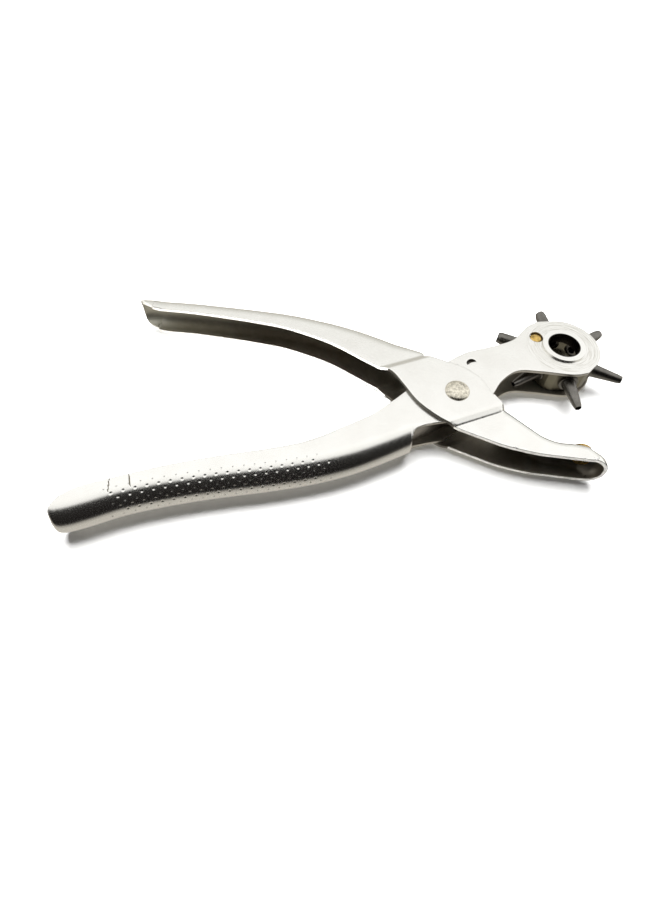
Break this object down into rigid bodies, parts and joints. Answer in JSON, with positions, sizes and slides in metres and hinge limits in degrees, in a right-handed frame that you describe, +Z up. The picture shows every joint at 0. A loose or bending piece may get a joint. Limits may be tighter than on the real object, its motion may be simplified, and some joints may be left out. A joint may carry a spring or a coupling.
{
  "type": "rotary hole punch",
  "caption": "Hand-held leather punch: two pressed steel levers on a rivet, a turning drum of punch tubes in one jaw and a round brass anvil in the other.",
  "frame": {"origin": "centre of the pivot rivet's flat lower head, on the surface that the tool lies on", "axes": "+Z up along the pivot axis; +X along the tool's length, from the handle ends towards the jaws; +Y from the dimpled handle's side towards the plain handle's side"},
  "size_m": [0.2258, 0.1135, 0.0219],
  "materials": {
    "lever_steel": "bright nickel plate, worn satin",
    "rivet_steel": "hammered, mottled",
    "bush_steel": "bright nickel plate",
    "spring_steel": "dull spring steel",
    "drum_steel": "dull turned steel",
    "punch_steel": "dark oiled tool steel, satin",
    "brass": "satin brass"
  },
  "bodies": {
    "punch_lever": {"punch_lever": "lever_steel", "pivot_rivet": "rivet_steel", "pivot_spacer": "spring_steel", "upper_hub_bush": "bush_steel", "lower_hub_bush": "bush_steel", "turret_washer": "spring_steel", "index_spring": "spring_steel", "index_button": "brass", "opening_spring": "spring_steel"},
    "anvil_lever": {"anvil_lever": "lever_steel", "anvil": "brass"},
    "turret": {"turret_drum": "drum_steel", "punch_tube_1": "punch_steel", "punch_tube_2": "punch_steel", "punch_tube_3": "punch_steel", "punch_tube_4": "punch_steel", "punch_tube_5": "punch_steel", "punch_tube_6": "punch_steel"}
  },
  "joints": [
    {"name": "handle_hinge", "type": "hinge", "parent": "punch_lever", "child": "anvil_lever", "pos_m": [0, 0, 0.01075], "axis": [0, 0, 1], "range_deg": [0, 21.5], "stiffness_Nm_per_rad": 2, "springref_deg": -5.73, "deforming": ["opening_spring"]},
    {"name": "turret_spin", "type": "hinge", "parent": "punch_lever", "child": "turret", "pos_m": [0.05173, 0.0275, 0.01075], "axis": [0, 0, 1], "continuous": true}
  ]
}
